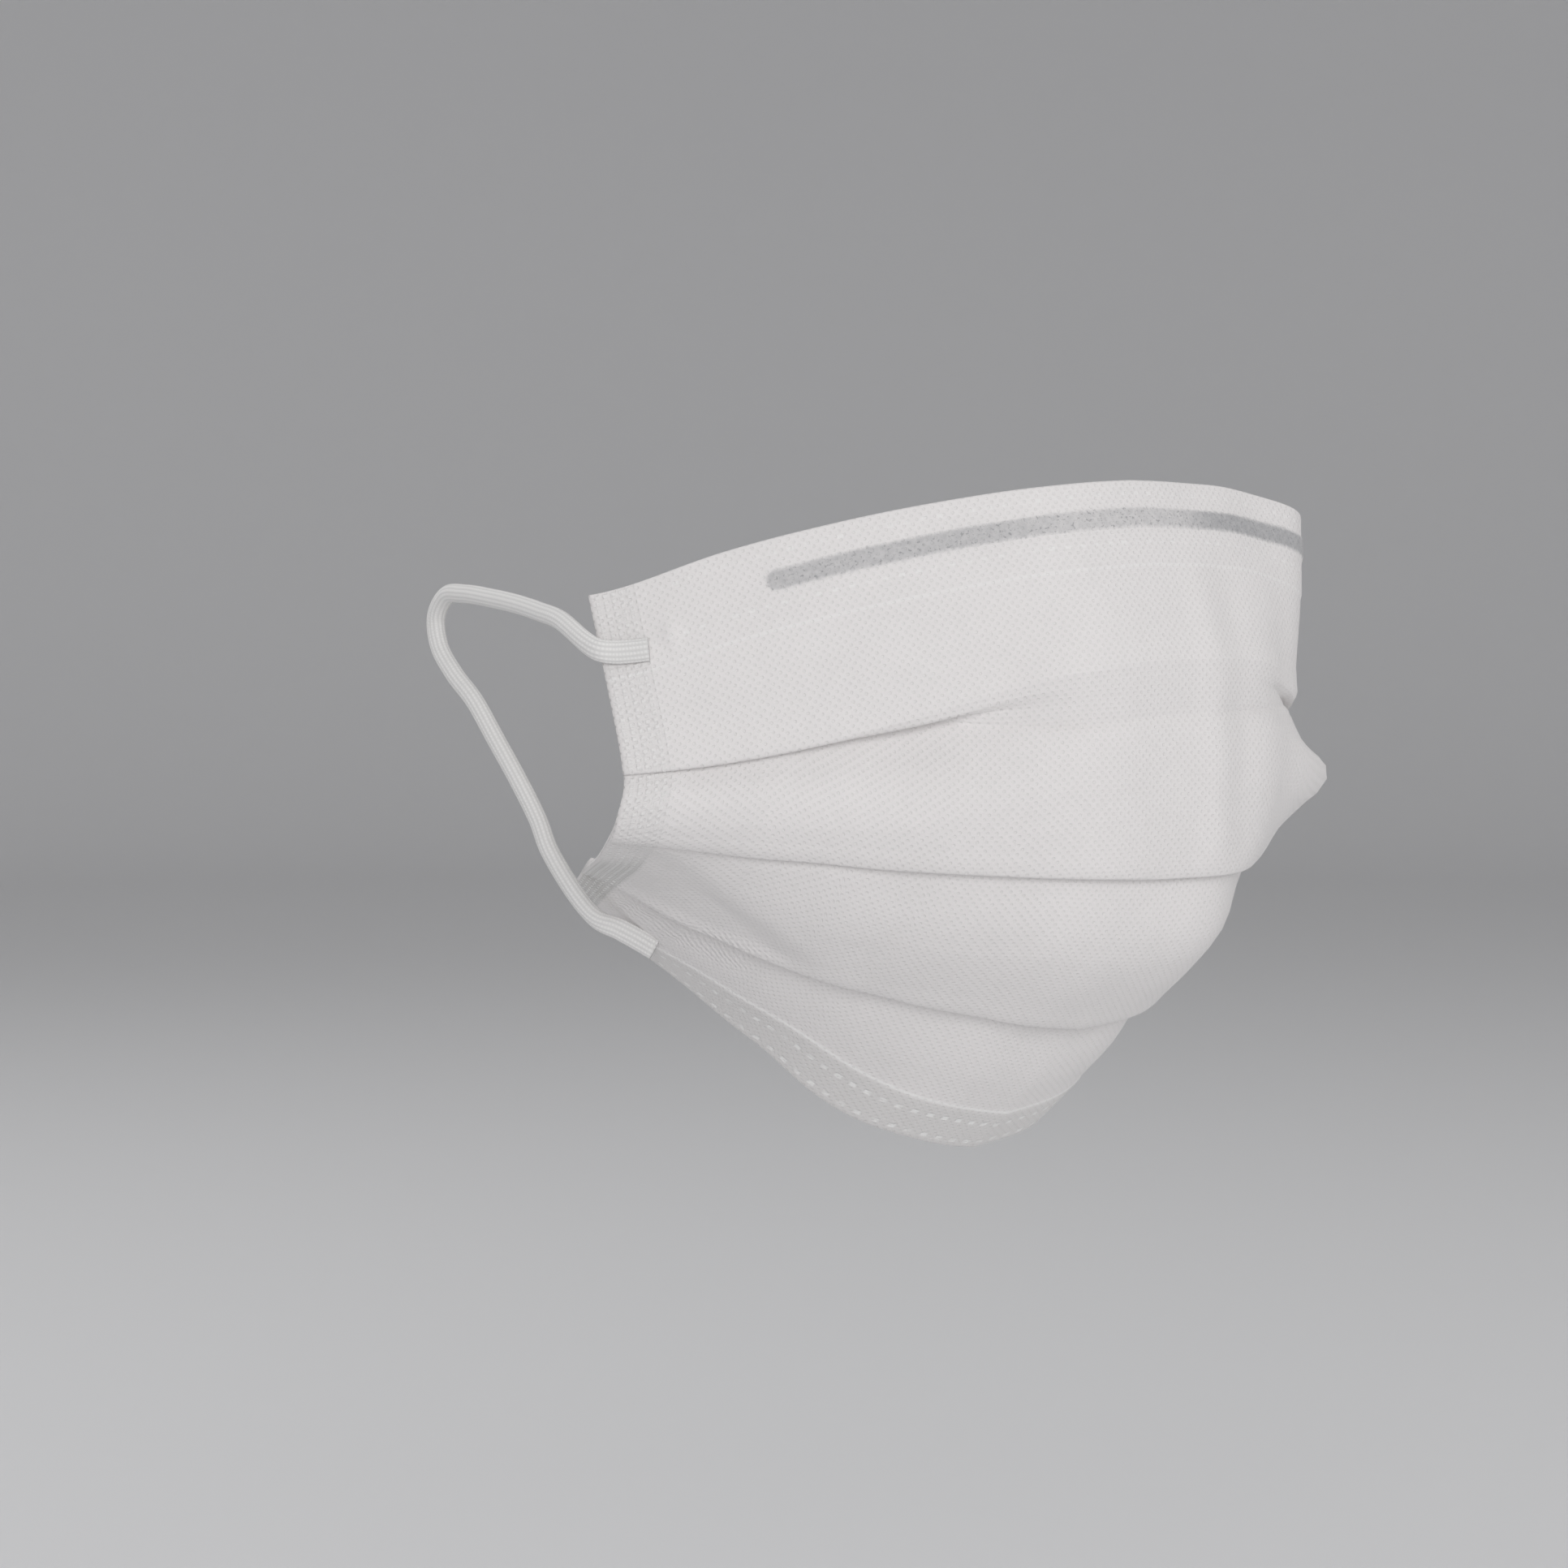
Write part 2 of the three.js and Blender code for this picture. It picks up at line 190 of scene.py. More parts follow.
class MaskColours(bpy.types.PropertyGroup):
    """Colours of the cloth, wire and elastic, and of the stage."""

    cloth: FloatVectorProperty(
        name="Cloth", description="Colour of the spunbonded cloth", subtype="COLOR",
        default=(0.78, 0.757, 0.752), min=0, max=1)
    # This colour also paints shade: besides thin, pressed cloth, it greys the lower side borders and the
    # bottom hem.
    thin: FloatVectorProperty(
        name="Thin cloth", description="Colour where the cloth is pressed or welded thin", subtype="COLOR",
        default=(0.60, 0.59, 0.58), min=0, max=1)
    stripe: FloatVectorProperty(
        name="Stripe", description="Colour of the nose wire seen through the cloth", subtype="COLOR",
        default=(0.38, 0.38, 0.39), min=0, max=1)
    speck: FloatVectorProperty(
        name="Specks", description="Colour of the dark specks over the nose wire", subtype="COLOR",
        default=(0.27, 0.27, 0.28), min=0, max=1)
    mark: FloatVectorProperty(
        name="Weld marks", description="Colour of the weld marks and raw edges", subtype="COLOR",
        default=(0.86, 0.855, 0.845), min=0, max=1)
    wire: FloatVectorProperty(
        name="Wire", description="Colour of the bare nose wire", subtype="COLOR",
        default=(0.55, 0.56, 0.58), min=0, max=1)
    elastic: FloatVectorProperty(
        name="Elastic", description="Colour of the elastic", subtype="COLOR",
        default=(0.80, 0.79, 0.78), min=0, max=1)
    floor: FloatVectorProperty(
        name="Floor", description="Colour of the plain floor", subtype="COLOR",
        default=(0.76, 0.76, 0.77), min=0, max=1)


class MaskView(bpy.types.PropertyGroup):
    """Where the camera stands and what it aims at."""

    distance: FloatProperty(
        name="Distance", description="From the camera to the point that it aims at",
        default=0.638, min=0.2, max=3, unit="LENGTH")
    azimuth: FloatProperty(
        name="Azimuth", description="Turn of the camera round the mask, towards the wearer's right",
        default=math.radians(38), unit="ROTATION")
    elevation: FloatProperty(
        name="Elevation", description="Angle of the camera above the horizon",
        default=math.radians(2.5), unit="ROTATION")
    aim: FloatVectorProperty(
        name="Aim", description="Point that the camera looks at", subtype="TRANSLATION",
        default=(-0.04347, 0.02862, -0.04684))
    lens: FloatProperty(
        name="Lens", description="Focal length on a sensor 36 mm wide",
        default=94.32, min=20, max=300, unit="CAMERA")


# Smooth shapes

def smoothstep(values, low, high):
    t = np.clip((values - low) / (high - low), 0, 1)
    return t * t * (3 - 2 * t)


def bump(values, middle, width):
    return np.exp(-((values - middle) / width) ** 2)


def spline_value(points, t):
    """Values of a smooth line through evenly spaced points, at places t from 0 to 1."""
    points = np.asarray(points, float)
    place = np.clip(t, 0, 1) * (len(points) - 1)
    first = np.minimum(place.astype(int), len(points) - 2)
    w = place - first
    before = points[np.maximum(first - 1, 0)]
    after = points[np.minimum(first + 2, len(points) - 1)]
    return spline_step(before, points[first], points[first + 1], after, w)


def spline_step(a, b, c, d, w):
    """A Catmull-Rom step from b to c."""
    start, end = (c - a) / 2, (d - b) / 2
    square, cube = w * w, w * w * w
    return (b * (2 * cube - 3 * square + 1) + c * (3 * square - 2 * cube)
            + start * (cube - 2 * square + w) + end * (cube - square))


def soft_noise(x, y, size, seed, waves=14):
    """Smooth noise of about -1 to 1 whose lumps are about `size` across."""
    rng = np.random.default_rng(seed)
    total = np.zeros(np.broadcast(x, y).shape)
    for _ in range(waves):
        angle, phase = rng.uniform(0, 2 * math.pi, 2)
        pace = 2 * math.pi / size * rng.uniform(0.45, 1.1)
        total += np.sin(pace * (x * math.cos(angle) + y * math.sin(angle)) + phase)
    return total / math.sqrt(waves)


class Surface:
    """The smooth surface that the cloth lies on, in columns across it and places down it."""

    SAMPLES = 1600

    def __init__(self, across):
        self.across = np.asarray(across, float)
        rows = self.rows()
        ends = [2 * rows[0] - rows[1], *rows, 2 * rows[-1] - rows[-2]]
        place = np.linspace(0, LAST_ROW, self.SAMPLES + 1)
        first = np.minimum(place.astype(int), LAST_ROW - 1)
        w = (place - first)[:, None, None]
        ends = np.array(ends)
        self.place = place
        self.points = spline_step(ends[first], ends[first + 1], ends[first + 2], ends[first + 3], w)
        steps = np.linalg.norm(np.diff(self.points, axis=0), axis=2)
        self.lengths = np.concatenate([np.zeros((1, len(self.across))), np.cumsum(steps, axis=0)])
        down = np.gradient(self.points, axis=0)
        along = np.gradient(self.points, self.across, axis=1)
        outward = np.cross(down, along)
        self.outward = outward / np.linalg.norm(outward, axis=2, keepdims=True)

    def rows(self):
        """Points of each row at every column, followed from the middle in small steps."""
        steps = 712
        step = HALF_WIDTH / steps
        along = (np.arange(steps) + 0.5) * step
        ruler = np.arange(steps + 1) * step
        found = []
        for row in ROWS:
            point = np.zeros((len(self.across), 3))
            for side, sign in (("right", -1), ("left", 1)):
                shape = row[side]
                height = spline_value(shape["heights"], ruler / HALF_WIDTH)
                turn = shape["wing"] * smoothstep(along, *NOSE_TURN)
                turn += shape["curl"] * (along / HALF_WIDTH) ** 2.5
                if "tuck" in shape:
                    turn += shape["tuck"] * smoothstep(along, shape["start"], shape["stop"])
                level = np.sqrt(np.maximum(step ** 2 - np.diff(height) ** 2, 0))
                x = np.concatenate([[0], np.cumsum(level * np.cos(np.radians(turn)))])
                y = row["back"] + np.concatenate([[0], np.cumsum(level * np.sin(np.radians(turn)))])
                here = self.across < 0 if sign < 0 else self.across >= 0
                at = np.abs(self.across[here])
                point[here, 0] = sign * np.interp(at, ruler, x)
                point[here, 1] = np.interp(at, ruler, y) - SEAT_SETBACK
                point[here, 2] = np.interp(at, ruler, height)
            found.append(point)
        return found

    def length_at(self, column, place):
        """Distance down one column at which a row place lies."""
        return np.interp(place, self.place, self.lengths[:, column])

    def at(self, column, spot, rise):
        """Points of one column at distances down it, `rise` outside the surface."""
        lengths = self.lengths[:, column]
        spot = np.asarray(spot, float)
        held = np.clip(spot, 0, lengths[-1])
        point, out = [np.stack([np.interp(held, lengths, table[:, column, k]) for k in range(3)], axis=-1)
                      for table in (self.points, self.outward)]
        last = self.points[-1, column] - self.points[-2, column]
        return point + out * np.asarray(rise)[:, None] + last / np.linalg.norm(last) * (spot - held)[:, None]


# Cloth

def turned(count, radius, sign, drop, rise):
    """A half turn of the cloth round a fold, starting at drop and rise."""
    angle = np.linspace(0, math.pi, count)
    return [(drop + sign * radius * math.sin(a), rise - radius + radius * math.cos(a)) for a in angle]


def pleat_profile(depth, opened, layer, lead, reach, crease):
    """Stations of one pleat, as distance below its fold and rise outside the surface.

    The closed one turns back under its fold, runs up behind it, turns again and comes out below. The
    opened one is a ridge where the fold was pressed and a valley below it, both `crease` times as deep.
    """
    radius = layer / 2
    outer = turned(7, radius, 1, -radius, 0)
    inner = turned(7, radius, -1, radius - depth, -2 * radius)
    deep = -4 * radius
    closed = [
        (-lead, 0.05), (-lead / 2, 0.1), *outer,
        (-depth * 0.35, -2 * radius), (-depth * 0.7, -2 * radius), *inner,
        (-depth * 0.7, deep), (-depth * 0.35, deep), (0, deep),
        (0.11 * reach, deep * 0.97), (0.24 * reach, deep * 0.86), (0.39 * reach, deep * 0.64),
        (0.57 * reach, deep * 0.36), (0.76 * reach, deep * 0.13), (reach, 0),
    ]
    bare = [
        (-lead, 0.2), (-lead / 2, 0.45),
        (-0.7, 0.75), (-0.25, 0.9), (0, 0.94), (0.25, 0.88), (0.7, 0.68), (1.4, 0.42), (2.2, 0.18),
        (3.5, -0.2), (5.2, -0.75),
        (6.6, -1.2), (7.5, -1.55), (8, -1.78), (8.2, -1.84), (8.4, -1.74), (8.9, -1.35), (9.6, -1.0),
        (10.3, -0.8), (11.2, -0.6), (12, -0.46), (12.9, -0.34), (13.8, -0.24), (14.8, -0.16),
        (15.8, -0.1), (16.8, -0.05), (18, 0),
    ]
    closed, bare = np.array(closed), np.array(bare)
    bare[:, 1] *= crease
    sink = np.zeros(len(closed))
    sink[9:18] = 2.4 * math.sin(math.pi * opened)
    sink[18:] = np.linspace(2.4, 0, len(closed) - 18) * math.sin(math.pi * opened)
    mixed = closed * (1 - opened) + bare * opened
    mixed[:, 1] -= sink
    return mixed


def deepest(stations, spots):
    """The lowest rise, 0 or less, of the cloth laid so far at some distances down it."""
    start, end = stations[:-1], stations[1:]
    low = np.minimum(start[:, 0], end[:, 0]) - 0.4
    high = np.maximum(start[:, 0], end[:, 0]) + 0.4
    rise = np.minimum(start[:, 1], end[:, 1])
    here = (spots[:, None] >= low) & (spots[:, None] <= high)
    return np.minimum(np.where(here, rise, 0).min(axis=1), 0)


def cloth_stations(surface, column, layer):
    """Every station down one column of the cloth: distance down the surface and rise outside it."""
    t = abs(surface.across[column]) / HALF_WIDTH
    folds = [surface.length_at(column, ROW_NUMBER[pleat["fold"]]) for pleat in PLEATS]
    end = surface.length_at(column, LAST_ROW)
    layer *= 1 - 0.45 * smoothstep(t, 0.86, 0.96)
    edge = 0.45 * layer
    stations = [(2.4, -2 * edge), (1.3, -2 * edge), *turned(7, edge, -1, edge, 0)[::-1]]

    def plain(until, count):
        start = stations[-1]
        for w in np.linspace(0, 1, count + 2)[1:-1]:
            stations.append((start[0] + (until - start[0]) * w, start[1] * (1 - w)))

    before = 0
    for number, (pleat, fold) in enumerate(zip(PLEATS, folds)):
        after = folds[number + 1] if number + 1 < len(folds) else end
        opened = float(np.clip(spline_value(pleat["open"], np.array(t)), 0, 1))
        depth = pleat["depth"] + (HIDDEN_AT_SIDE - pleat["depth"]) * t
        lead = min(LEAD, 0.25 * (fold - before))
        reach = min(REACH, 0.62 * (after - fold))
        plain(fold - lead, STEPS_ABOVE[number])
        crease = spline_value(CREASE[1], (surface.across[column] - CREASE[0][0]) / CREASE_SPAN)
        profile = pleat_profile(depth, opened, layer, lead, reach, crease)
        profile[:, 0] += fold
        hidden = profile[9:20]
        hidden[:, 1] += (1 - opened) * deepest(np.array(stations), hidden[:, 0])
        stations.extend(map(tuple, profile))
        before = fold
    plain(end - edge, STEPS_BELOW)
    stations.append((end - edge, 0))
    stations.extend(turned(7, edge, 1, end - edge, 0)[1:])
    stations.append((end - 1.3, -2 * edge))
    return np.array(stations)


def cloth_relief(across, from_top, from_bottom, wire_drop, below):
    """How far the cloth stands out, from its hems, its wire and the way it has been handled.

    `below` is the distance below each of the three folds.
    """
    first, second, third = below
    flat = 1 - smoothstep(np.abs(across), 76, 85)
    relief = 0.28 * soft_noise(across, from_top, 42, 3) + 0.09 * soft_noise(across, from_top, 14, 8)
    relief = relief * (0.3 + 0.7 * flat)
    relief += 0.20 * (1 - smoothstep(from_top, TOP_HEM - 0.6, TOP_HEM + 0.5))
    relief += 0.26 * (1 - smoothstep(from_bottom, BOTTOM_HEM - 0.6, BOTTOM_HEM + 0.5))
    wire = 1 - smoothstep(np.abs(wire_drop), 1.1, 2.3)
    relief += 0.30 * wire * (1 - smoothstep(np.abs(across), 60.5, 63))

    # The chin panel is pulled down towards its lower corner: a soft ridge runs across it slantwise.
    chin = smoothstep(second, 0, 2) * (1 - smoothstep(third, -3, 0))
    for side, strength in ((-1, 1.0), (1, 0.7)):
        out = side * across
        slant = second - (85 - out) * 0.62
        here = smoothstep(out, 40, 56) * (1 - smoothstep(out, 82, 87))
        relief += strength * chin * here * (0.9 - 1.5 * smoothstep(slant, -2, 7))
    relief += 0.8 * chin * bump(across, 14, 16) * bump(second, 9, 6)

    # Soft upright creases beside the nose on the wearer's left.
    upright = smoothstep(from_top, 10, 22) * (1 - smoothstep(second, -5, 0))
    creases = 0.42 * bump(across, 8.5, 3) - 0.5 * bump(across, 15.5, 3.6) + 0.35 * bump(across, 25, 4.5)
    relief += upright * creases

    # The panel below the opened pleat stands out on the wearer's left cheek.
    swollen = smoothstep(first, 1.5, 4.5) * (1 - smoothstep(first, 9, 19))
    relief += 2.2 * bump(across, 41, 15) * swollen

    # Cloth bunched up beside the upper welds.
    for side in (-1, 1):
        relief += 0.55 * bump(across, side * 77.8, 0.9) * bump(from_top, 9.6, 2.0)
    return relief


def closed_wall(grid, thickness):
    """Vertices and faces of a wall on both sides of a grid of points, columns first."""
    columns, rows = grid.shape[:2]
    down = np.gradient(grid, axis=1)
    along = np.gradient(grid, axis=0)
    outward = np.cross(down, along)
    outward /= np.maximum(np.linalg.norm(outward, axis=2, keepdims=True), 1e-9)
    sides = [grid + outward * thickness / 2, grid - outward * thickness / 2]
    number = np.arange(columns * rows).reshape(columns, rows)
    a, b, c, d = number[:-1, :-1], number[:-1, 1:], number[1:, 1:], number[1:, :-1]
    outer = np.stack([a, b, c, d], axis=-1).reshape(-1, 4)
    inner = np.stack([a, d, c, b], axis=-1).reshape(-1, 4) + columns * rows
    rim = []
    edges = ((number[:, 0], False), (number[:, -1], True), (number[0], True), (number[-1], False))
    for edge, flip in edges:
        start, end = edge[:-1], edge[1:]
        strip = [start, end, end + columns * rows, start + columns * rows]
        rim.append(np.stack(strip[::-1] if flip else strip, axis=-1))
    vertices = np.concatenate([side.reshape(-1, 3) for side in sides])
    return vertices, np.concatenate([outer, inner, *rim])


def make_object(name, vertices, faces, material, maps=()):
    """A smooth mesh object from points in millimetres, with its UV maps given point by point."""
    mesh = bpy.data.meshes.new(name)
    mesh.from_pydata((vertices * MM).tolist(), [], [list(map(int, face)) for face in faces])
    for title, values in maps:
        layer = mesh.uv_layers.new(name=title)
        corner = np.zeros(len(mesh.loops), int)
        mesh.loops.foreach_get("vertex_index", corner)
        layer.data.foreach_set("uv", values[corner].astype(np.float32).ravel())
    mesh.polygons.foreach_set("use_smooth", [True] * len(mesh.polygons))
    mesh.materials.append(material)
    mesh.validate()
    mesh.update()
    made = bpy.data.objects.new(name, mesh)
    bpy.context.scene.collection.objects.link(made)
    return made


# Materials

class Value:
    """One socket of a material. Python's operators on it add Math nodes."""

    def __init__(self, maker, socket):
        self.maker = maker
        self.socket = socket

    def __add__(self, other):
        return self.maker.maths("ADD", self, other)

    def __sub__(self, other):
        return self.maker.maths("SUBTRACT", self, other)

    def __rsub__(self, other):
        return self.maker.maths("SUBTRACT", other, self)

    def __mul__(self, other):
        return self.maker.maths("MULTIPLY", self, other)

    def __truediv__(self, other):
        return self.maker.maths("DIVIDE", self, other)

    def __neg__(self):
        return self.maker.maths("MULTIPLY", -1, self)

    __radd__ = __add__
    __rmul__ = __mul__


class Finish:
    """A material whose nodes are added one by one."""

    def __init__(self, name):
        self.material = bpy.data.materials.new(name)
        self.material.use_nodes = True
        self.tree = self.material.node_tree
        self.tree.nodes.clear()
        self.shader = self.tree.nodes.new("ShaderNodeBsdfPrincipled")
        output = self.tree.nodes.new("ShaderNodeOutputMaterial")
        self.tree.links.new(self.shader.outputs["BSDF"], output.inputs["Surface"])

    def put(self, socket, value):
        if isinstance(value, Value):
            self.tree.links.new(value.socket, socket)
        elif isinstance(value, bpy.types.NodeSocket):
            self.tree.links.new(value, socket)
        else:
            socket.default_value = value

    def add(self, kind, settings=None, inputs=None):
        """Adds a node, makes its settings, then fills its sockets with values or links."""
        node = self.tree.nodes.new("ShaderNode" + kind)
        for name, value in (settings or {}).items():
            setattr(node, name, value)
        for name, value in (inputs or {}).items():
            self.put(node.inputs[name], value)
        return node

    def maths(self, operation, *values):
        inputs = dict(enumerate(values))
        return Value(self, self.add("Math", {"operation": operation}, inputs).outputs[0])

    def soft_edge(self, value, low, high):
        """0 below low and 1 above high, smooth between."""
        inputs = {"Value": value, "From Min": low, "From Max": high}
        return Value(self, self.add("MapRange", {"interpolation_type": "SMOOTHSTEP"}, inputs).outputs[0])

    def size_of(self, value):
        return self.maths("ABSOLUTE", value)

    def wrapped(self, value):
        """Distance from the nearest whole number."""
        return self.size_of(self.maths("SUBTRACT", self.maths("FRACT", value), 0.5))

    def noise(self, place, scale, detail, roughness):
        inputs = {"Vector": place, "Scale": scale, "Detail": detail, "Roughness": roughness}
        return Value(self, self.add("TexNoise", {}, inputs).outputs["Fac"])

    def mix_colour(self, amount, one, other):
        # The Mix node's colour sockets have the names of its number sockets, so they go by number.
        node = self.add("Mix", {"data_type": "RGBA"}, {0: amount, 6: one, 7: other})
        return node.outputs[2]

    def flat_place(self, across, down):
        return self.add("CombineXYZ", {}, {"X": across, "Y": down}).outputs[0]

    def map_values(self, name):
        """The two values of a UV map."""
        coordinates = self.add("UVMap", {"uv_map": name}).outputs["UV"]
        parts = self.add("SeparateXYZ", {}, {"Vector": coordinates}).outputs
        return Value(self, parts["X"]), Value(self, parts["Y"])

    def bumped(self, height, distance, strength=1.0):
        inputs = {"Height": height, "Distance": distance, "Strength": strength}
        return self.add("Bump", {}, inputs).outputs["Normal"]

    def finish(self, **inputs):
        for name, value in inputs.items():
            self.put(self.shader.inputs[name.replace("_", " ")], value)
        return self.material


def rgba(colour):
    return (*colour, 1)


def staggered_dots(look, across, down, pitch, low, high):
    """1 on the dots of a diagonal grid, 0 between them."""
    one = (across + down) / (pitch * math.sqrt(2))
    two = (across - down) / (pitch * math.sqrt(2))
    first, second = 0.5 - look.wrapped(one), 0.5 - look.wrapped(two)
    away = look.maths("SQRT", first * first + second * second)
    return 1 - look.soft_edge(away, low, high)


def weld_dashes(look, across, apart, row, length, pitch, width):
    """A row of short weld marks along the cloth, at a distance `row` from an edge that `apart` gives."""
    beside = 1 - look.soft_edge(look.size_of(apart - row), width * 0.35, width * 0.75)
    along = look.wrapped(across / pitch) * pitch
    return beside * look.soft_edge(along, pitch / 2 - length / 2 - 0.2, pitch / 2 - length / 2 + 0.2)


def cloth_material(name, settings, colours, hems=True):
    """Spunbonded cloth: cloudy fibres and a grid of bond points, with its welds and the wire behind, and
    painted shade on the lower side borders and the bottom hem.
    """
    look = Finish(name)
    across, down = look.map_values("cloth")
    place = look.flat_place(across, down)
    bonds = staggered_dots(look, across, down, settings.bond_pitch / MM, 0.14, 0.30)
    clouds = look.noise(place, 0.45, 3, 0.6)
    lumps = look.noise(place, 0.09, 2, 0.5)
    fibres = look.noise(look.flat_place(across * 0.35, down), 3.2, 4, 0.65)
    shade = (0.55 - 0.4 * clouds - 0.6 * lumps) * 0.5 + bonds * 0.10 + (fibres - 0.5) * 0.10
    colour = look.mix_colour(look.maths("MAXIMUM", shade, 0), rgba(colours.cloth), rgba(colours.thin))
    height = 0.5 * fibres + 0.3 * clouds - 0.7 * bonds
    roughness = 0.86 - 0.10 * bonds
    if hems:
        from_top, from_bottom = look.map_values("edges")
        wire_drop = look.map_values("wire")[0]
        width = settings.wire_width / MM / 2
        half = settings.wire_half / MM
        beside = look.size_of(wire_drop)
        overrun = look.maths("MAXIMUM", look.size_of(across) - (half - width), 0)
        away = look.maths("SQRT", beside * beside + overrun * overrun)
        wobble = (look.noise(place, 1.3, 3, 0.6) - 0.5) * 0.9
        stripe = 1 - look.soft_edge(away + wobble, width - 0.55, width + 0.35)
        to_right = look.soft_edge(-across, 10, 30)
        to_left = look.soft_edge(across, 6, 18)
        mottle = look.soft_edge(look.noise(place, 0.8, 2, 0.6), 0.30, 0.70)
        specks = look.soft_edge(look.noise(place, 1.9, 1, 0.5), 0.61, 0.68)
        shown = stripe * (0.34 + 0.18 * to_right + 0.46 * to_left + 0.16 * mottle)
        colour = look.mix_colour(shown, colour, rgba(colours.stripe))
        colour = look.mix_colour(stripe * specks * 0.6, colour, rgba(colours.speck))
        side = HALF_WIDTH - look.size_of(across)
        pitch = settings.weld_pitch / MM
        dots_a = look.wrapped(side / pitch)
        dots_b = look.wrapped(down / (pitch * 0.88))
        dots = look.soft_edge(dots_a, 0.16, 0.34) * look.soft_edge(dots_b, 0.12, 0.32)
        # The side borders are greyed a little all along for their welds, which is their own tone, and much
        # more on the lower part of the mask, which is painted shade. The weld dots on them are drawn more
        # strongly there.
        border = (1 - look.soft_edge(side, 7.0, 7.8)) * look.soft_edge(side, 0.5, 0.9)
        lower = 1 - look.soft_edge(from_bottom, 48, 56)
        colour = look.mix_colour((0.10 + 0.75 * lower) * border, colour, rgba(colours.thin))
        colour = look.mix_colour((0.3 + 0.55 * lower) * border * dots, colour, rgba(colours.mark))
        inner = look.soft_edge(side, 8, 9)
        rows = [
            (from_bottom, 1.9, 1.2, 2.9, 0.9, 1.0), (from_bottom, 7.2, 1.2, 2.7, 0.9, 1.0),
            (from_top, 2.2, 1.0, 2.6, 0.6, 0.45), (from_top, 10.2, 1.0, 2.6, 0.6, 0.5),
        ]
        marks = 0
        for apart, row, length, gap, wide, strength in rows:
            marks = weld_dashes(look, across, apart, row, length, gap, wide) * strength + marks
        worn = look.soft_edge(look.noise(place, 0.25, 2, 0.6), 0.38, 0.58)
        marks = marks * inner * (0.35 + 0.65 * worn)
        # Painted shade: the bottom hem is greyed where the lower edge of the mask faces down.
        shaded_bottom_hem = 1 - look.soft_edge(from_bottom, 9.8, 10.8)
        colour = look.mix_colour(0.45 * shaded_bottom_hem, colour, rgba(colours.thin))
        colour = look.mix_colour(0.85 * marks, colour, rgba(colours.mark))
        raw = thin_line(look, from_bottom, BOTTOM_HEM, 0.35) + 0.5 * thin_line(look, from_top, TOP_HEM, 0.35)
        colour = look.mix_colour(0.6 * raw, colour, rgba(colours.mark))
        tension = wrinkles(look, across, from_bottom, down)
        height = height + (0.8 + 0.8 * lower) * border * dots - 1.1 * marks + 0.6 * tension
    normal = look.bumped(height, 0.18 * MM, 0.6)
    return look.finish(Base_Color=colour, Roughness=roughness, Normal=normal,
                       Sheen_Weight=0.2, Sheen_Roughness=0.5, Specular_IOR_Level=0.3)


def thin_line(look, apart, row, width):
    """1 on a line along the cloth, at a distance `row` from an edge that `apart` gives."""
    return 1 - look.soft_edge(look.size_of(apart - row), width * 0.3, width)


def wrinkles(look, across, from_bottom, down):
    """Fine ribs where the elastic pulls the cloth's lower corners."""
    out = look.size_of(across)
    bent = look.noise(look.flat_place(across, down), 0.12, 1, 0.5) * 3
    ribs = look.maths("SINE", (down + 0.28 * out + bent) * (2 * math.pi / 1.15))
    here = look.soft_edge(out, 50, 60) * (1 - look.soft_edge(out, 76, 82))
    strip = look.soft_edge(from_bottom, 15, 20) * (1 - look.soft_edge(from_bottom, 26, 32))
    return ribs * here * strip


def elastic_material(name, colours):
    """Fine round knitting: ribs along the elastic crossed by its rows, with painted shade in the grooves
    between them.
    """
    look = Finish(name)
    around, along = look.map_values("knit")
    ribs = look.wrapped(around * 14)
    rows = look.wrapped(along / 0.55 + around * 1.0)
    knit = look.soft_edge(ribs, 0.05, 0.4) * (0.55 + 0.45 * look.soft_edge(rows, 0.05, 0.4))
    fuzz = look.noise(look.flat_place(around * 9, along * 2.2), 3, 3, 0.6)
    height = 0.8 * knit + 0.3 * fuzz
    # Painted shade: the grooves between the ribs and rows get this darker colour.
    dark = [0.78 * part for part in colours.elastic]
    colour = look.mix_colour(0.25 + 0.75 * knit, rgba(dark), rgba(colours.elastic))
    normal = look.bumped(height, 0.15 * MM, 0.6)
    return look.finish(Base_Color=colour, Roughness=0.85, Normal=normal, Sheen_Weight=0.3)


def wire_material(name, colours):
    look = Finish(name)
    across, down = look.map_values("cloth")
    streaks = look.noise(look.flat_place(across * 0.2, down * 4), 2, 3, 0.6)
    dark = [0.8 * part for part in colours.wire]
    colour = look.mix_colour(streaks, rgba(dark), rgba(colours.wire))
    return look.finish(Base_Color=colour, Metallic=0.85, Roughness=0.32 + 0.2 * streaks,
                       Normal=look.bumped(streaks, 0.05 * MM, 0.4))


# Pieces

def sheet_grid(surface, stations_at):
    """Stations of every column, and their points."""
    tables = np.array([stations_at(column) for column in range(len(surface.across))])
    grid = np.array([surface.at(column, *tables[column].T) for column in range(len(tables))])
    return tables, grid


def distances_down(grid):
    steps = np.linalg.norm(np.diff(grid, axis=1), axis=2)
    return np.concatenate([np.zeros((len(grid), 1)), np.cumsum(steps, axis=1)], axis=1)


def both_sides(first, second):
    """A UV map of two values for the points of a closed wall."""
    return np.tile(np.stack([first.ravel(), second.ravel()], axis=1), (2, 1))


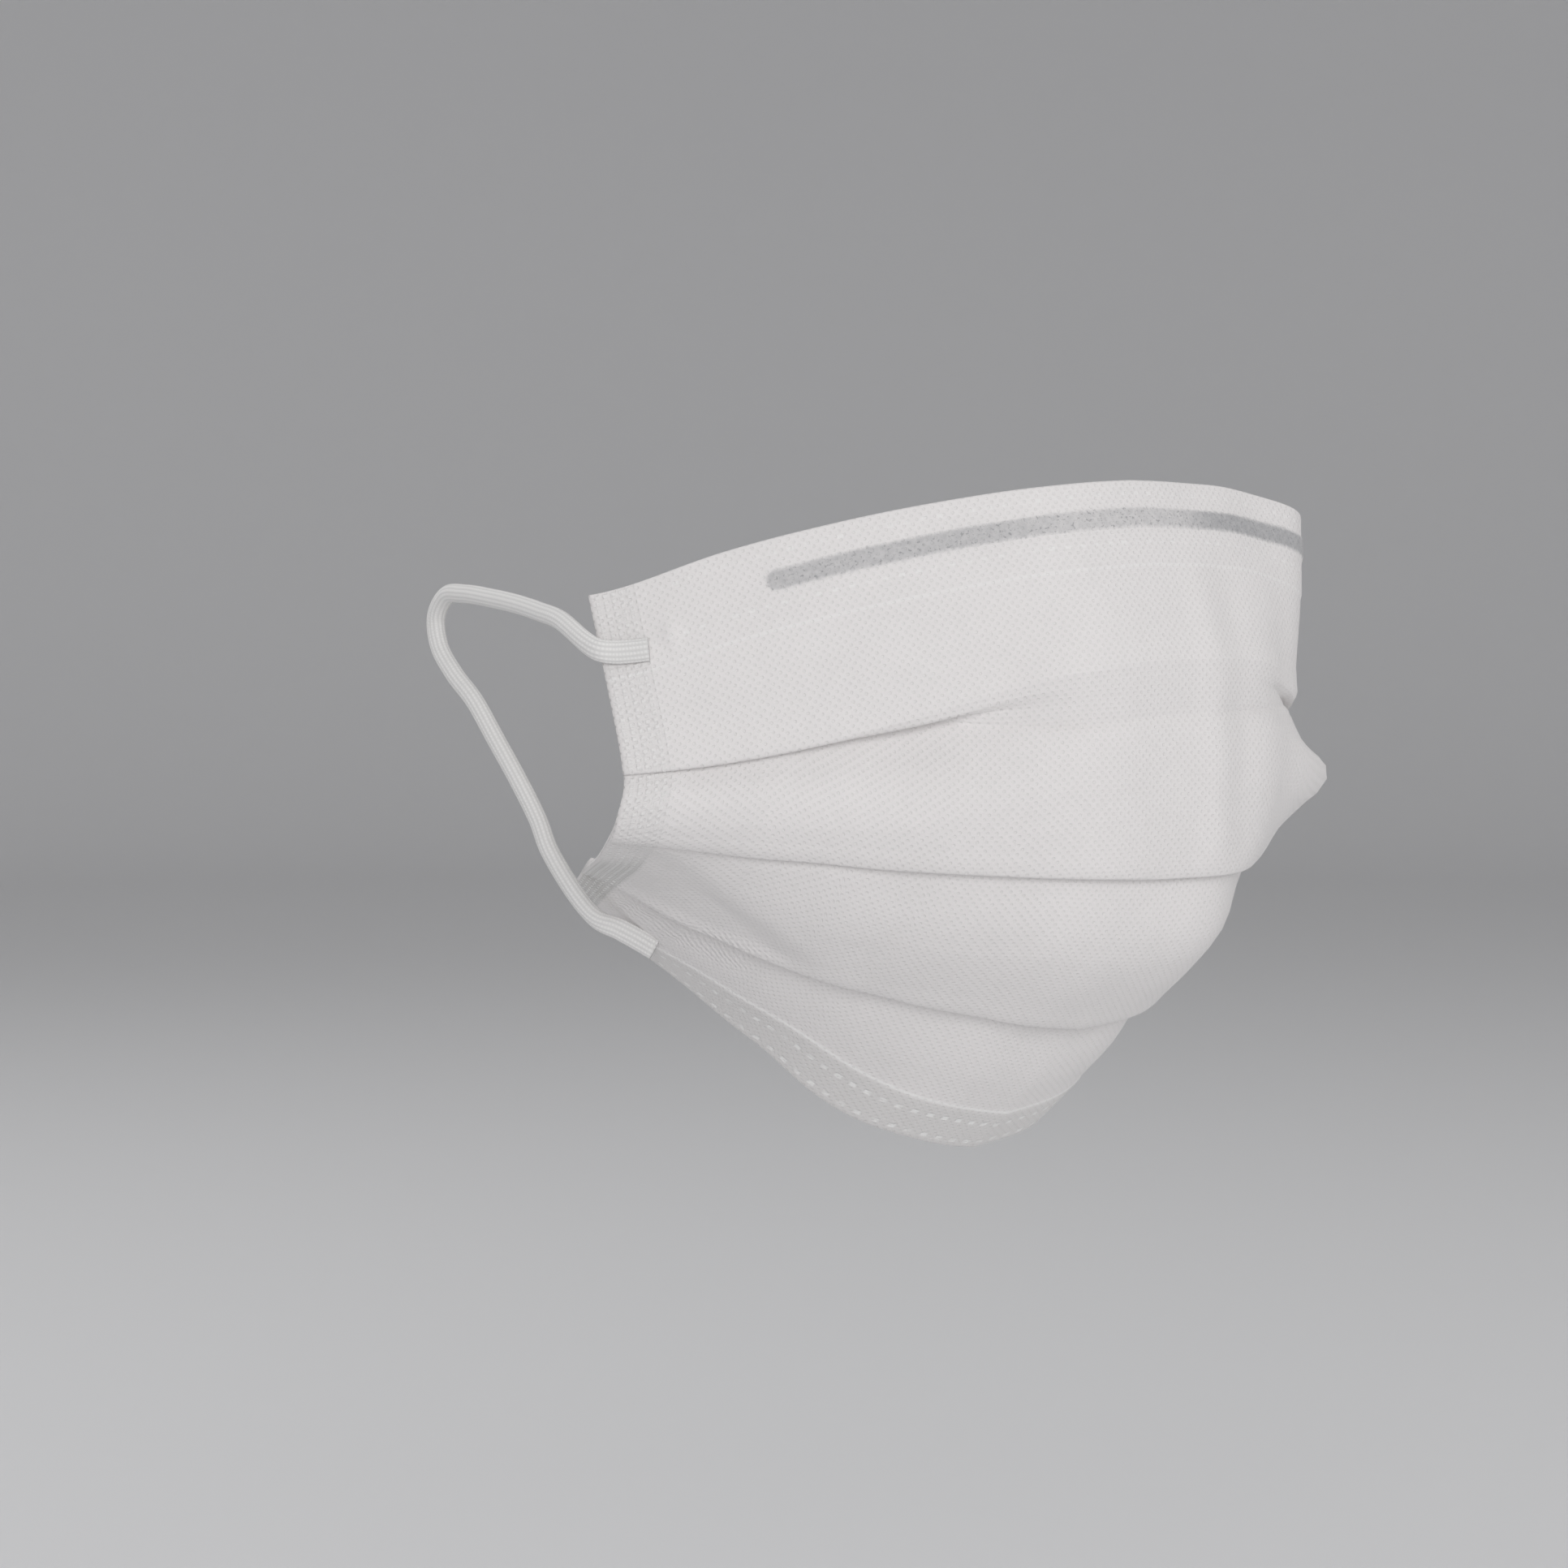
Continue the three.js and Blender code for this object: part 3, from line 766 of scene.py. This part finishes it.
def build_body(context):
    sizes, colours = context.scene.mask_sizes, context.scene.mask_colours
    surface = Surface(np.linspace(-HALF_WIDTH, HALF_WIDTH, sizes.columns + 1))
    layer = sizes.layer / MM
    columns = range(len(surface.across))
    tables, grid = sheet_grid(surface, lambda column: cloth_stations(surface, column, layer))
    down = distances_down(grid)
    sideways = np.repeat(surface.across[:, None], grid.shape[1], axis=1)
    from_top = tables[:, :, 0]
    from_bottom = np.array([surface.lengths[-1, column] for column in columns])[:, None] - from_top
    wire_at = np.array([surface.length_at(column, WIRE_ROW) for column in columns])
    wire_drop = from_top - wire_at[:, None]
    folds = [np.array([surface.length_at(column, ROW_NUMBER[pleat["fold"]]) for column in columns])
             for pleat in PLEATS]
    below = [from_top - fold[:, None] for fold in folds]
    relief = cloth_relief(sideways, from_top, from_bottom, wire_drop, below)
    tables[:, :, 1] += relief
    grid = np.array([surface.at(column, *tables[column].T) for column in columns])
    vertices, faces = closed_wall(grid, sizes.cloth / MM)
    maps = [
        ("cloth", both_sides(sideways, down)),
        ("edges", both_sides(from_top, from_bottom)),
        ("wire", both_sides(wire_drop, down[:, -1:] - down)),
    ]
    material = cloth_material("pleated cloth", sizes, colours)
    body = make_object("cloth_body", vertices, faces, material, maps)
    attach(body, "root")
    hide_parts("mask_body")
    return body


def build_hem(context, name, node, rows, count):
    """The turned-in edge of the cloth, behind the body. rows are (place, drop, setback)."""
    sizes, colours = context.scene.mask_sizes, context.scene.mask_colours
    surface = Surface(np.linspace(-HALF_WIDTH, HALF_WIDTH, sizes.columns // 2 + 1))
    rows = np.array(rows, float)
    t = np.linspace(0, 1, count)
    place, drop, setback = [spline_value(rows[:, k], t) for k in range(3)]

    def stations(column):
        uneven = 0.06 * soft_noise(surface.across[column], place * 14, 12, 21)
        return np.stack([surface.length_at(column, place) + drop, uneven - setback], axis=1)

    tables, grid = sheet_grid(surface, stations)
    vertices, faces = closed_wall(grid, sizes.cloth / MM * 0.7)
    down = distances_down(grid)
    sideways = np.repeat(surface.across[:, None], grid.shape[1], axis=1)
    cloth_map = both_sides(sideways, down)
    material = cloth_material(name.replace("_", " ") + " cloth", sizes, colours, hems=False)
    hem = make_object(name, vertices, faces, material, [("cloth", cloth_map)])
    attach(hem, "root")
    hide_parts(node)
    return hem


def build_wire(context):
    sizes, colours = context.scene.mask_sizes, context.scene.mask_colours
    half, width = sizes.wire_half / MM, sizes.wire_width / MM / 2
    surface = Surface(np.linspace(-half, half, 161))
    inset = np.maximum(np.abs(surface.across) - (half - width), 0)
    reach = np.sqrt(np.maximum(width ** 2 - inset ** 2, 0.05))
    spread = np.linspace(-1, 1, 9)

    def stations(column):
        middle = surface.length_at(column, WIRE_ROW)
        return np.stack([middle + reach[column] * spread, -1.05 + 0.12 * (1 - spread ** 2)], axis=1)

    tables, grid = sheet_grid(surface, stations)
    vertices, faces = closed_wall(grid, 0.45)
    sideways = np.repeat(surface.across[:, None], grid.shape[1], axis=1)
    tables[:, :, 0] -= np.mean(tables[:, :, 0], axis=1, keepdims=True)
    cloth_map = both_sides(sideways, tables[:, :, 0])
    material = wire_material("flat wire", colours)
    wire = make_object("wire_strip", vertices, faces, material, [("cloth", cloth_map)])
    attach(wire, "root")
    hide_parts("nose_wire")
    return wire


def weld_points(welds, sign):
    """Points above the cloth for a loop's welded end."""
    across = np.array([sign * weld[0] for weld in welds], float)
    surface = Surface(np.unique(np.concatenate([across - 0.5, across, across + 0.5])))
    points = []
    for u, place, rise in welds:
        column = int(np.argmin(np.abs(surface.across - sign * u)))
        points.append(surface.at(column, [surface.length_at(column, place)], [rise])[0])
    return points


def smooth_path(points, count):
    """A centripetal curve through the points, with about `count` steps of even length."""
    points = [2 * points[0] - points[1], *points, 2 * points[-1] - points[-2]]
    made = []
    for a, b, c, d in zip(points, points[1:], points[2:], points[3:]):
        knots = [0.0]
        for one, other in ((a, b), (b, c), (c, d)):
            knots.append(knots[-1] + max(np.linalg.norm(other - one), 1e-6) ** 0.5)
        k0, k1, k2, k3 = knots
        for t in np.linspace(k1, k2, 24, endpoint=False):
            ab = a * (k1 - t) / (k1 - k0) + b * (t - k0) / (k1 - k0)
            bc = b * (k2 - t) / (k2 - k1) + c * (t - k1) / (k2 - k1)
            cd = c * (k3 - t) / (k3 - k2) + d * (t - k2) / (k3 - k2)
            left = ab * (k2 - t) / (k2 - k0) + bc * (t - k0) / (k2 - k0)
            right = bc * (k3 - t) / (k3 - k1) + cd * (t - k1) / (k3 - k1)
            made.append(left * (k2 - t) / (k2 - k1) + right * (t - k1) / (k2 - k1))
    made.append(points[-2])
    made = np.array(made)
    length = np.concatenate([[0], np.cumsum(np.linalg.norm(np.diff(made, axis=0), axis=1))])
    even = np.linspace(0, length[-1], count)
    return np.stack([np.interp(even, length, made[:, k]) for k in range(3)], axis=1), length[-1]


def build_loop(context, name, node, side):
    sizes, colours = context.scene.mask_sizes, context.scene.mask_colours
    sign = -1 if side == "right" else 1
    free = [np.array(point, float) * (sign, 1, 1) for point in LOOP_FREE[side]]
    points = [*weld_points(LOOP_TOP_WELD, sign), *free, *weld_points(LOOP_BOTTOM_WELD, sign)]
    path, length = smooth_path(points, 320)
    radius = sizes.elastic / MM / 2
    ways = np.gradient(path, axis=0)
    ways /= np.linalg.norm(ways, axis=1, keepdims=True)
    far = np.linspace(0, length, len(path))
    pressed = np.maximum(1 - smoothstep(far, 4, 13), 1 - smoothstep(length - far, 4, 14))
    ring = 20
    angle = np.linspace(0, 2 * math.pi, ring, endpoint=False)
    vertices, flat = [], []
    normal = frames_along(path, ways, sign)
    for i in range(len(path)):
        out = normal[i]
        across = np.cross(ways[i], out)
        wide = radius * (1 + 0.22 * pressed[i])
        tall = radius * (1 - 0.62 * pressed[i])
        for a in angle:
            vertices.append(path[i] + across * wide * math.cos(a) + out * tall * math.sin(a))
            flat.append((a / (2 * math.pi), far[i]))
    faces = []
    for i in range(len(path) - 1):
        for j in range(ring):
            k = (j + 1) % ring
            faces.append((i * ring + j, i * ring + k, (i + 1) * ring + k, (i + 1) * ring + j))
    faces.append(tuple(range(ring))[::-1])
    faces.append(tuple((len(path) - 1) * ring + j for j in range(ring)))
    material = elastic_material(name.replace("_", " "), colours)
    loop = make_object(name, np.array(vertices), faces, material, [("knit", np.array(flat))])
    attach(loop, "root")
    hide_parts(node)
    return loop


def frames_along(path, ways, sign):
    """Directions that keep facing away from the head, one for each point of a loop."""
    normal = np.zeros_like(path)
    normal[:] = (sign * 0.9, -0.35, 0.1)
    normal -= ways * np.sum(normal * ways, axis=1, keepdims=True)
    return normal / np.linalg.norm(normal, axis=1, keepdims=True)


# Stage

def soft_light(name, place, aim, size, power):
    data = bpy.data.lights.new(name, "AREA")
    data.shape = "RECTANGLE"
    data.size, data.size_y = size
    data.energy = power
    data.spread = math.radians(LIGHT_SPREAD)
    lamp = bpy.data.objects.new(name, data)
    lamp.location = place
    lamp.rotation_euler = (Vector(aim) - Vector(place)).to_track_quat("-Z", "Y").to_euler()
    bpy.context.scene.collection.objects.link(lamp)


def build_stage(context):
    view, colours = context.scene.mask_view, context.scene.mask_colours
    data = bpy.data.cameras.new("view")
    data.lens, data.sensor_width = view.lens, 36
    camera = bpy.data.objects.new("view", data)
    flat = math.cos(view.elevation)
    back = Vector((-math.sin(view.azimuth) * flat, -math.cos(view.azimuth) * flat, math.sin(view.elevation)))
    camera.location = Vector(view.aim) + back * view.distance
    camera.rotation_euler = back.to_track_quat("Z", "Y").to_euler()
    context.scene.collection.objects.link(camera)
    context.scene.camera = camera
    context.scene.view_settings.view_transform = "Standard"
    build_floor(colours)
    for name, place, size, power in LIGHTS:
        soft_light(name, place, MASK_MIDDLE, size, power)
    world = bpy.data.worlds.new("room")
    world.use_nodes = True
    world.node_tree.nodes["Background"].inputs["Color"].default_value = (1, 1, 1, 1)
    world.node_tree.nodes["Background"].inputs["Strength"].default_value = ROOM_LIGHT
    context.scene.world = world


def build_floor(colours):
    """A plain round floor whose rim curves up all the way round."""
    level, reach, bend, high, turns = -0.26, 3.0, 0.8, 3.0, 64
    outline = [(0.01, level), (reach, level)]
    for a in np.linspace(0, math.pi / 2, 13)[1:]:
        outline.append((reach + bend * math.sin(a), level + bend - bend * math.cos(a)))
    outline.append((reach + bend, level + high))
    vertices = []
    for a in np.linspace(0, 2 * math.pi, turns, endpoint=False):
        vertices.extend((out * math.cos(a), out * math.sin(a), rise) for out, rise in outline)
    count = len(outline)
    faces = []
    for turn in range(turns):
        here, there = turn * count, (turn + 1) % turns * count
        for i in range(count - 1):
            faces.append((here + i, here + i + 1, there + i + 1, there + i))
    faces.append(tuple(turn * count for turn in range(turns)))
    look = Finish("plain floor")
    material = look.finish(Base_Color=rgba(colours.floor), Roughness=0.9)
    floor = make_object("floor", np.array(vertices) / MM, faces, material)
    floor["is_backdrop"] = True


# Operators, panel and registration

class MASK_OT_stage(bpy.types.Operator):
    """Adds the floor, the lights and the camera"""

    bl_idname = "mask.stage"
    bl_label = "Stage"

    def execute(self, context):
        build_stage(context)
        return {"FINISHED"}


class MASK_OT_loops(bpy.types.Operator):
    """Builds the two ear loops of knitted elastic"""

    bl_idname = "mask.loops"
    bl_label = "Ear loops"

    def execute(self, context):
        build_loop(context, "elastic_right", "ear_loop_right", "right")
        build_loop(context, "elastic_left", "ear_loop_left", "left")
        return {"FINISHED"}


class MASK_OT_body(bpy.types.Operator):
    """Builds the pleated cloth"""

    bl_idname = "mask.body"
    bl_label = "Pleated cloth"

    def execute(self, context):
        build_body(context)
        return {"FINISHED"}


class MASK_OT_hems(bpy.types.Operator):
    """Builds the two turned-in hems"""

    bl_idname = "mask.hems"
    bl_label = "Hems"

    def execute(self, context):
        build_hem(context, "hem_top", "top_hem",
                  [(0, 2.4, 0.85), (0, 3, 1.5), (0.41, 0, 1.75), (0.7, 0, 1.3), (1, 0, 0.75)], 24)
        build_hem(context, "hem_bottom", "bottom_hem",
                  [(7.05, 0, 0.8), (7.3, 0, 0.75), (7.6, 0, 0.8), (7.97, -0.5, 0.85)], 16)
        return {"FINISHED"}


class MASK_OT_wire(bpy.types.Operator):
    """Builds the flat wire over the nose"""

    bl_idname = "mask.wire"
    bl_label = "Nose wire"

    def execute(self, context):
        build_wire(context)
        return {"FINISHED"}


class MASK_OT_declare(bpy.types.Operator):
    """Does nothing; no cut size of the cloth is stated"""

    bl_idname = "mask.declare"
    bl_label = "Cloth sizes"

    def execute(self, context):
        return {"FINISHED"}


class MASK_PT_panel(bpy.types.Panel):
    bl_label = "Pleated mask"
    bl_idname = "MASK_PT_panel"
    bl_space_type = "VIEW_3D"
    bl_region_type = "UI"
    bl_category = "Mask"

    def draw(self, context):
        for group in (context.scene.mask_sizes, context.scene.mask_colours, context.scene.mask_view):
            for name in group.__annotations__:
                self.layout.prop(group, name)
        for operator in OPERATORS:
            self.layout.operator(operator.bl_idname)


OPERATORS = [MASK_OT_stage, MASK_OT_loops, MASK_OT_body, MASK_OT_hems, MASK_OT_wire, MASK_OT_declare]
CLASSES = [MaskSizes, MaskColours, MaskView, *OPERATORS, MASK_PT_panel]


def register():
    for made in CLASSES:
        bpy.utils.register_class(made)
    bpy.types.Scene.mask_sizes = PointerProperty(type=MaskSizes)
    bpy.types.Scene.mask_colours = PointerProperty(type=MaskColours)
    bpy.types.Scene.mask_view = PointerProperty(type=MaskView)


def unregister():
    del bpy.types.Scene.mask_sizes, bpy.types.Scene.mask_colours, bpy.types.Scene.mask_view
    for made in reversed(CLASSES):
        bpy.utils.unregister_class(made)


def main():
    register()
    for operator in OPERATORS:
        category, name = operator.bl_idname.split(".")
        getattr(getattr(bpy.ops, category), name)()
    boxes = {"cad": CAD_BOX, "visual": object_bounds()}
    boxes = {name: [list(corner) for corner in box] for name, box in boxes.items()}


if __name__ == "__main__":
    main()
